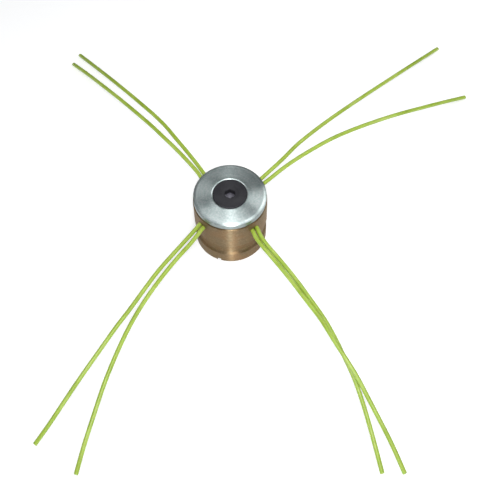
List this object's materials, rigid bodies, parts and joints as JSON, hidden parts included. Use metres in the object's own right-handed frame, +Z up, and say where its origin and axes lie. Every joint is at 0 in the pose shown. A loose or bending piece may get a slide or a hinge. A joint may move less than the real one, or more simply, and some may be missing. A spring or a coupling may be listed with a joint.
{
  "type": "fixed line trimmer head",
  "caption": "Turned metal trimmer head with a bolted clamp disc that holds green nylon lines leaving in pairs at its corners; screws onto a brush cutter's shaft.",
  "frame": {"origin": "middle of the hub's base, on the turning axis, where the head stands", "axes": "+Z up along the turning axis towards the bolt's head; the line windows are at 45 degrees between +X and +Y and every quarter turn from there"},
  "size_m": [0.3866, 0.449, 0.0605],
  "materials": {
    "hub": "turned, bronze coloured, semi gloss",
    "disc": "turned, bare, semi gloss",
    "bolt": "black oxide, satin",
    "bush": "zinc plated",
    "line": "translucent nylon line, satin"
  },
  "bodies": {
    "root": {"body": "hub", "cap": "disc", "centre_bolt": "bolt", "arbor_bush": "bush", "line_1": "line", "line_2": "line", "line_3": "line", "line_4": "line"}
  },
  "joints": []
}
